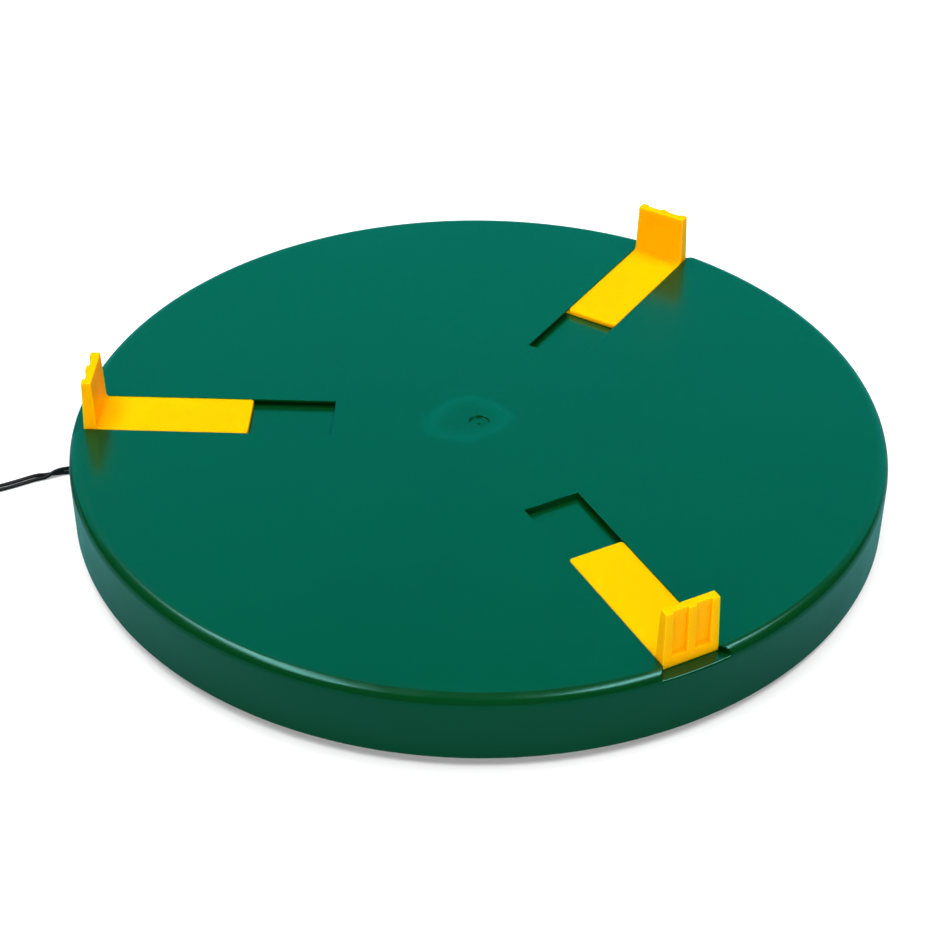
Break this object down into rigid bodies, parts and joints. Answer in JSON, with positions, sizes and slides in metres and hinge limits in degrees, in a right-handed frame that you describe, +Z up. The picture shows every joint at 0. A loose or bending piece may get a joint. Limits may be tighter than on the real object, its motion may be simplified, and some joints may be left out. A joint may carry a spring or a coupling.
{
  "type": "rotating tree stand turntable",
  "caption": "Round motor-driven floor turntable with a low green skirted platter, sliding L-shaped yellow clamps in radial channels and a thin black twisted lead.",
  "frame": {"origin": "on the floor, under the middle of the platter's turning axis", "axes": "+Z up along the turning axis, -X towards the side where the lead comes out and one clamp channel points, +Y away from the viewer of the picture"},
  "size_m": [0.5944, 0.45, 0.0731],
  "materials": {
    "green_plastic": "satin moulded",
    "yellow_plastic": "satin moulded",
    "grey_plastic": "matte moulded",
    "ivory_plastic": "satin moulded",
    "black_plastic": "soft gloss",
    "rubber": "matte",
    "steel": "bright plated",
    "brass": "satin"
  },
  "bodies": {
    "base": {"base_tray": "grey_plastic", "bearing_post": "grey_plastic", "roller_brackets": "grey_plastic", "axle_bush": "brass", "thrust_washer": "ivory_plastic", "rubber_feet": "rubber", "roller_axles": "steel", "motor_case": "steel", "motor_lid": "grey_plastic", "motor_screws": "steel", "cord_clamp": "black_plastic", "cord_clamp_screws": "steel", "cord_grommet": "rubber", "motor_leads": "black_plastic", "cord_free": "black_plastic", "cord_coil": "black_plastic", "cord_tie": "rubber", "plug_relief": "black_plastic", "plug_body": "black_plastic", "plug_pins": "steel"},
    "turning_platter": {"platter": "green_plastic", "track_ring": "ivory_plastic", "ring_gear": "ivory_plastic", "ring_gear_screws": "steel", "platter_axle": "steel", "axle_clip": "steel"},
    "left_clamp": {"clamp_left": "yellow_plastic"},
    "rear_clamp": {"clamp_rear": "yellow_plastic"},
    "front_clamp": {"clamp_front": "yellow_plastic"},
    "pinion": {"motor_shaft": "steel", "drive_pinion": "ivory_plastic"},
    "roller_1": {"roller_1": "ivory_plastic"},
    "roller_2": {"roller_2": "ivory_plastic"},
    "roller_3": {"roller_3": "ivory_plastic"},
    "roller_4": {"roller_4": "ivory_plastic"},
    "roller_5": {"roller_5": "ivory_plastic"},
    "roller_6": {"roller_6": "ivory_plastic"}
  },
  "joints": [
    {"name": "platter_spin", "type": "hinge", "parent": "base", "child": "turning_platter", "pos_m": [0, 0, 0.02], "axis": [0, 0, 1], "continuous": true},
    {"name": "left_clamp_slide", "type": "slide", "parent": "turning_platter", "child": "left_clamp", "axis": [-1, 0, 0], "range_m": [-0.0459, 0]},
    {"name": "rear_clamp_slide", "type": "slide", "parent": "turning_platter", "child": "rear_clamp", "axis": [0.5, 0.866, 0], "range_m": [-0.0459, 0]},
    {"name": "front_clamp_slide", "type": "slide", "parent": "turning_platter", "child": "front_clamp", "axis": [0.5, -0.866, 0], "range_m": [-0.0459, 0]},
    {"name": "pinion_spin", "type": "hinge", "parent": "base", "child": "pinion", "pos_m": [-0.05996, 0.00209, 0.029], "axis": [0, 0, 1], "continuous": true},
    {"name": "roller_1_spin", "type": "hinge", "parent": "base", "child": "roller_1", "pos_m": [0.1299, 0.075, 0.0207], "axis": [0.866, 0.5, 0], "continuous": true},
    {"name": "roller_2_spin", "type": "hinge", "parent": "base", "child": "roller_2", "pos_m": [0, 0.15, 0.0207], "axis": [0, 1, 0], "continuous": true},
    {"name": "roller_3_spin", "type": "hinge", "parent": "base", "child": "roller_3", "pos_m": [-0.1299, 0.075, 0.0207], "axis": [-0.866, 0.5, 0], "continuous": true},
    {"name": "roller_4_spin", "type": "hinge", "parent": "base", "child": "roller_4", "pos_m": [-0.1299, -0.075, 0.0207], "axis": [-0.866, -0.5, 0], "continuous": true},
    {"name": "roller_5_spin", "type": "hinge", "parent": "base", "child": "roller_5", "pos_m": [0, -0.15, 0.0207], "axis": [0, -1, 0], "continuous": true},
    {"name": "roller_6_spin", "type": "hinge", "parent": "base", "child": "roller_6", "pos_m": [0.1299, -0.075, 0.0207], "axis": [0.866, -0.5, 0], "continuous": true}
  ],
  "couplings": [
    {"joint": "pinion_spin", "follows": "platter_spin", "ratio": 6},
    {"joint": "roller_1_spin", "follows": "platter_spin", "ratio": -12.5},
    {"joint": "roller_2_spin", "follows": "platter_spin", "ratio": -12.5},
    {"joint": "roller_3_spin", "follows": "platter_spin", "ratio": -12.5},
    {"joint": "roller_4_spin", "follows": "platter_spin", "ratio": -12.5},
    {"joint": "roller_5_spin", "follows": "platter_spin", "ratio": -12.5},
    {"joint": "roller_6_spin", "follows": "platter_spin", "ratio": -12.5}
  ]
}
